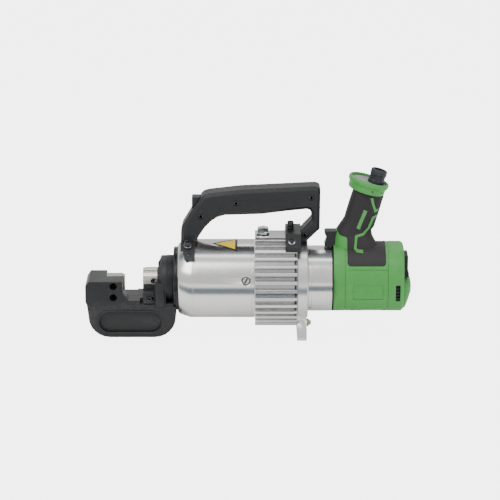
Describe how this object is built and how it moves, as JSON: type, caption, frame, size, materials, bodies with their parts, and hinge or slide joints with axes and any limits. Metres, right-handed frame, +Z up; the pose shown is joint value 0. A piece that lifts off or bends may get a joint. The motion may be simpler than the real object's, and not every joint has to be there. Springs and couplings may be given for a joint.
{
  "type": "electro-hydraulic rebar cutter",
  "caption": "Hand-held hydraulic bar cutter: C-shaped head with shear blades, ram cylinder, finned pump, pistol-grip motor and carry handle.",
  "frame": {"origin": "centre of the ground rectangle under the tool as it stands on the head and the foot", "axes": "+X from the cutting head to the motor, along the ram; +Z up; the ram, pump and motor axis is 78.5 mm above the ground"},
  "size_m": [0.455, 0.133, 0.2385],
  "materials": {
    "black_steel": "dark forged steel, fine satin paint",
    "tool_steel": "ground steel",
    "machined_aluminium": "fine turned and polished",
    "chrome": "bright plated",
    "brass": "dull",
    "green_plastic": "fine moulded texture",
    "black_rubber": "soft matt overmould",
    "black_plastic": "glass filled nylon, matt",
    "grey_plastic": "matt",
    "copper_windings": "varnished windings",
    "clear_lens": "dark clear"
  },
  "bodies": {
    "root": {"cutter_head": "black_steel", "fixed_blade": "tool_steel", "blade_bolt_1": "black_steel", "blade_bolt_2": "black_steel", "collar_nut": "black_steel", "stop_screw": "black_steel", "return_spring": "tool_steel", "rod_guide": "brass", "ram_cylinder": "machined_aluminium", "pump_case": "machined_aluminium", "filler_plug": "chrome", "filler_washer": "black_rubber", "pump_block": "machined_aluminium", "pump_plunger_1": "tool_steel", "pump_plunger_2": "tool_steel", "oil_bladder": "black_rubber", "shaft_bearing": "tool_steel", "ring_gear": "tool_steel", "flange_plate": "machined_aluminium", "drain_fitting": "brass", "motor_adaptor": "machined_aluminium", "adaptor_gasket": "black_rubber", "stator": "tool_steel", "bearing_front": "tool_steel", "bearing_rear": "tool_steel", "motor_shell_left": "green_plastic", "motor_shell_right": "green_plastic", "overmould_left": "black_rubber", "overmould_right": "black_rubber", "rear_bumper": "black_rubber", "trigger_switch": "black_plastic", "grip_ring": "green_plastic", "ring_plate": "grey_plastic", "power_inlet": "black_plastic", "handle_left": "black_plastic", "handle_right": "black_plastic", "handle_screw_1": "black_steel", "handle_screw_2": "black_steel", "handle_screw_3": "black_steel", "handle_screw_4": "black_steel", "front_clamp": "black_plastic", "clamp_bolt_left": "black_steel", "clamp_bolt_right": "black_steel", "rear_bracket": "black_steel", "bracket_bolt": "black_steel", "lamp_body": "black_plastic", "lamp_lens": "clear_lens"},
    "ram_group": {"ram": "tool_steel", "moving_blade": "tool_steel", "moving_blade_bolt": "black_steel", "piston_seal": "black_rubber"},
    "stop_block": {"rebar_stop": "black_steel"},
    "release_screw": {"release_valve_screw": "chrome"},
    "rotor": {"armature": "copper_windings", "motor_fan": "black_plastic"},
    "carrier": {"eccentric_shaft": "tool_steel"},
    "planet_1": {"planet_gear_1": "tool_steel"},
    "planet_2": {"planet_gear_2": "tool_steel"},
    "planet_3": {"planet_gear_3": "tool_steel"},
    "trigger": {"trigger": "black_plastic"}
  },
  "joints": [
    {"name": "ram_slide", "type": "slide", "parent": "root", "child": "ram_group", "axis": [-1, 0, 0], "range_m": [0, 0.027], "stiffness_N_per_m": 1500, "deforming": ["return_spring"]},
    {"name": "stop_slide", "type": "slide", "parent": "root", "child": "stop_block", "axis": [-1, 0, 0], "range_m": [0, 0.004]},
    {"name": "release_turn", "type": "hinge", "parent": "root", "child": "release_screw", "pos_m": [-0.003, 0, 0.0785], "axis": [0, -0.9781, 0.2079], "range_deg": [0, 90]},
    {"name": "motor_spin", "type": "hinge", "parent": "root", "child": "rotor", "pos_m": [0.15, 0, 0.0785], "axis": [1, 0, 0], "continuous": true},
    {"name": "carrier_spin", "type": "hinge", "parent": "root", "child": "carrier", "pos_m": [0.08, 0, 0.0785], "axis": [1, 0, 0], "continuous": true},
    {"name": "planet_spin_1", "type": "hinge", "parent": "carrier", "child": "planet_1", "pos_m": [0.0983, 0.01875, 0.0785], "axis": [1, 0, 0], "continuous": true},
    {"name": "planet_spin_2", "type": "hinge", "parent": "carrier", "child": "planet_2", "pos_m": [0.0983, -0.00937, 0.09474], "axis": [1, 0, 0], "continuous": true},
    {"name": "planet_spin_3", "type": "hinge", "parent": "carrier", "child": "planet_3", "pos_m": [0.0983, -0.00937, 0.06226], "axis": [1, 0, 0], "continuous": true},
    {"name": "trigger_pull", "type": "slide", "parent": "root", "child": "trigger", "axis": [1, 0, 0], "range_m": [0, 0.006], "stiffness_N_per_m": 600}
  ],
  "couplings": [
    {"joint": "carrier_spin", "follows": "motor_spin", "ratio": 0.2},
    {"joint": "planet_spin_1", "follows": "motor_spin", "ratio": -0.53333},
    {"joint": "planet_spin_2", "follows": "motor_spin", "ratio": -0.53333},
    {"joint": "planet_spin_3", "follows": "motor_spin", "ratio": -0.53333}
  ]
}
